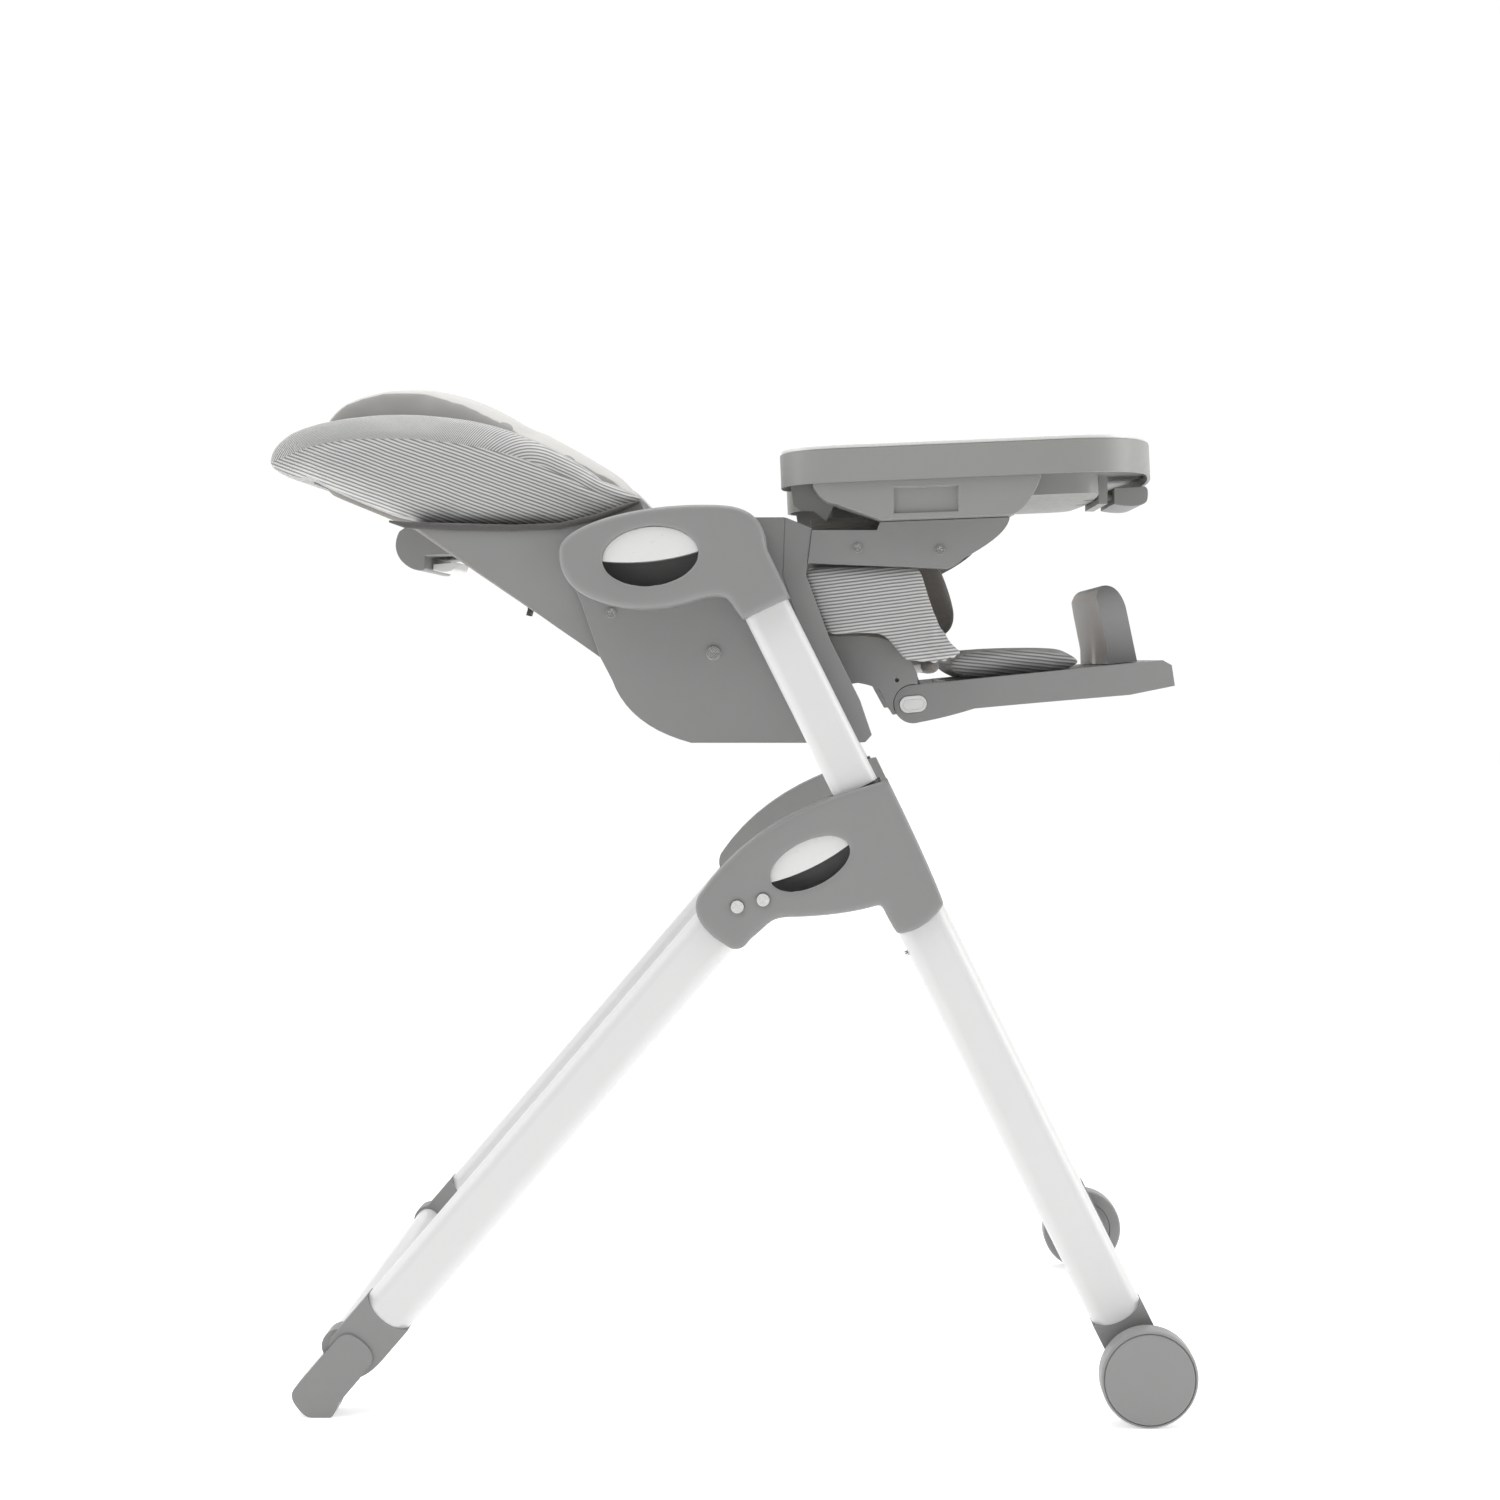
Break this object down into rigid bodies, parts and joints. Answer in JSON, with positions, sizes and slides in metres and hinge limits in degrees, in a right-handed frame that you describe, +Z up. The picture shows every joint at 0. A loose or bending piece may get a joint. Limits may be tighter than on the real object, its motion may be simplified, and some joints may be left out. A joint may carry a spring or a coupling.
{
  "type": "baby high chair",
  "caption": "Folding baby high chair with a sliding height-adjustable seat, reclining back, swinging calf rest and footrest, sliding tray with a lift-out insert, front wheels and rear feet.",
  "frame": {"origin": "on the floor, under the middle of the chair's bounding box", "axes": "+X the way the child faces, +Y to the child's left, +Z up"},
  "size_m": [0.8724, 0.576, 0.9666],
  "materials": {
    "tube_white": "satin white powder coat",
    "housing_grey": "fine matte moulded grey plastic",
    "wheel_grey": "smooth matte grey plastic with a lighter rim",
    "dark_plastic": "dark grey moulded plastic",
    "steel": "plated steel",
    "lever_white": "satin white plastic",
    "tray_grey": "light grey moulded plastic",
    "insert_white": "semi-gloss white plastic",
    "striped_fabric": "woven cloth with fine light and mid grey stripes",
    "pad_fabric": "plain warm grey woven cloth",
    "liner_fabric": "soft grey knit with a plain dotted print",
    "webbing": "dark grey harness webbing",
    "footrest_beige": "matte warm grey plastic"
  },
  "bodies": {
    "base": {"lower_tube_left": "tube_white", "lower_tube_right": "tube_white", "hinge_housing_outer_left": "housing_grey", "hinge_housing_outer_right": "housing_grey", "hinge_housing_inners": "housing_grey", "tube_bushes": "dark_plastic", "wheel_brackets": "housing_grey", "wheel_axles": "steel", "front_crossbar": "tube_white", "leg_rivets": "steel"},
    "wheel_left": {"wheel_tyre_left": "wheel_grey", "wheel_disc_left": "wheel_grey"},
    "wheel_right": {"wheel_tyre_right": "wheel_grey", "wheel_disc_right": "wheel_grey"},
    "rear_legs": {"rear_tube_left": "tube_white", "rear_tube_right": "tube_white", "rear_knuckles": "housing_grey", "rear_caps": "housing_grey", "rear_feet": "housing_grey", "rear_crossbar": "tube_white"},
    "fold_lever_left": {"fold_lever_left": "lever_white"},
    "fold_lever_right": {"fold_lever_right": "lever_white"},
    "seat": {"upper_tube_left": "tube_white", "upper_tube_right": "tube_white", "tube_lock_plugs": "dark_plastic", "top_housing_outer_left": "housing_grey", "top_housing_outer_right": "housing_grey", "top_housing_inners": "housing_grey", "seat_side_left": "housing_grey", "seat_side_right": "housing_grey", "seat_pan": "housing_grey", "front_trims": "housing_grey", "armrests": "housing_grey", "calf_brackets": "housing_grey", "seat_screws": "steel", "back_pivot_pins": "steel", "seat_pad": "pad_fabric", "side_wing_left": "striped_fabric", "side_wing_right": "striped_fabric", "crotch_post": "pad_fabric", "lap_harness": "webbing", "buckle": "dark_plastic"},
    "height_lever_left": {"height_lever_left": "lever_white"},
    "height_lever_right": {"height_lever_right": "lever_white"},
    "backrest": {"back_shell": "housing_grey", "back_pad": "pad_fabric", "back_bolster": "striped_fabric", "support_cushion": "liner_fabric", "recline_handle": "housing_grey", "shoulder_straps": "webbing"},
    "recline_lever": {"recline_lever": "lever_white"},
    "calf_rest": {"calf_panel": "housing_grey", "calf_pad": "striped_fabric"},
    "calf_button_left": {"calf_button_left": "lever_white"},
    "calf_button_right": {"calf_button_right": "lever_white"},
    "footrest": {"footrest": "footrest_beige"},
    "tray": {"tray_body": "tray_grey", "tray_skirts": "tray_grey"},
    "tray_insert": {"tray_insert": "insert_white"},
    "tray_release": {"tray_release": "housing_grey"}
  },
  "joints": [
    {"name": "wheel_left_spin", "type": "hinge", "parent": "base", "child": "wheel_left", "pos_m": [0.3917, 0.276, 0.0445], "axis": [0, 1, 0], "continuous": true},
    {"name": "wheel_right_spin", "type": "hinge", "parent": "base", "child": "wheel_right", "pos_m": [0.3917, -0.276, 0.0445], "axis": [0, 1, 0], "continuous": true},
    {"name": "rear_legs_fold", "type": "hinge", "parent": "base", "child": "rear_legs", "pos_m": [0.0153, 0, 0.4724], "axis": [0, -1, 0], "range_deg": [0, 67]},
    {"name": "fold_lever_left_squeeze", "type": "slide", "parent": "base", "child": "fold_lever_left", "axis": [-0.4384, 0, 0.8988], "range_m": [0, 0.008], "stiffness_N_per_m": 500, "springref_m": -0.004},
    {"name": "fold_lever_right_squeeze", "type": "slide", "parent": "base", "child": "fold_lever_right", "axis": [-0.4384, 0, 0.8988], "range_m": [0, 0.008], "stiffness_N_per_m": 500, "springref_m": -0.004},
    {"name": "seat_height", "type": "slide", "parent": "base", "child": "seat", "axis": [0.4462, 0, -0.8949], "range_m": [0, 0.168]},
    {"name": "height_lever_left_squeeze", "type": "slide", "parent": "seat", "child": "height_lever_left", "axis": [-0.1045, 0, 0.9945], "range_m": [0, 0.008], "stiffness_N_per_m": 500, "springref_m": -0.004},
    {"name": "height_lever_right_squeeze", "type": "slide", "parent": "seat", "child": "height_lever_right", "axis": [-0.1045, 0, 0.9945], "range_m": [0, 0.008], "stiffness_N_per_m": 500, "springref_m": -0.004},
    {"name": "back_recline", "type": "hinge", "parent": "seat", "child": "backrest", "pos_m": [-0.009, 0, 0.7061], "axis": [0, 1, 0], "range_deg": [0, 45]},
    {"name": "recline_lever_squeeze", "type": "slide", "parent": "backrest", "child": "recline_lever", "axis": [0, 0, 1], "range_m": [0, 0.004], "stiffness_N_per_m": 500, "springref_m": -0.002},
    {"name": "calf_rest_swing", "type": "hinge", "parent": "seat", "child": "calf_rest", "pos_m": [0.1807, 0, 0.6571], "axis": [0, 1, 0], "range_deg": [0, 75]},
    {"name": "calf_button_left_press", "type": "slide", "parent": "calf_rest", "child": "calf_button_left", "axis": [0, -1, 0], "range_m": [0, 0.003], "stiffness_N_per_m": 500, "springref_m": -0.001},
    {"name": "calf_button_right_press", "type": "slide", "parent": "calf_rest", "child": "calf_button_right", "axis": [0, 1, 0], "range_m": [0, 0.003], "stiffness_N_per_m": 500, "springref_m": -0.001},
    {"name": "footrest_slide", "type": "slide", "parent": "calf_rest", "child": "footrest", "axis": [0.9952, 0, 0.0976], "range_m": [-0.024, 0.012]},
    {"name": "tray_slide", "type": "slide", "parent": "seat", "child": "tray", "axis": [0.9993, 0, 0.0384], "range_m": [0, 0.15]},
    {"name": "tray_insert_lift", "type": "slide", "parent": "tray", "child": "tray_insert", "axis": [-0.0419, 0, 0.9991], "range_m": [0, 0.08]},
    {"name": "tray_release_squeeze", "type": "slide", "parent": "tray", "child": "tray_release", "axis": [-1, 0, 0], "range_m": [0, 0.006], "stiffness_N_per_m": 500, "springref_m": -0.002}
  ]
}
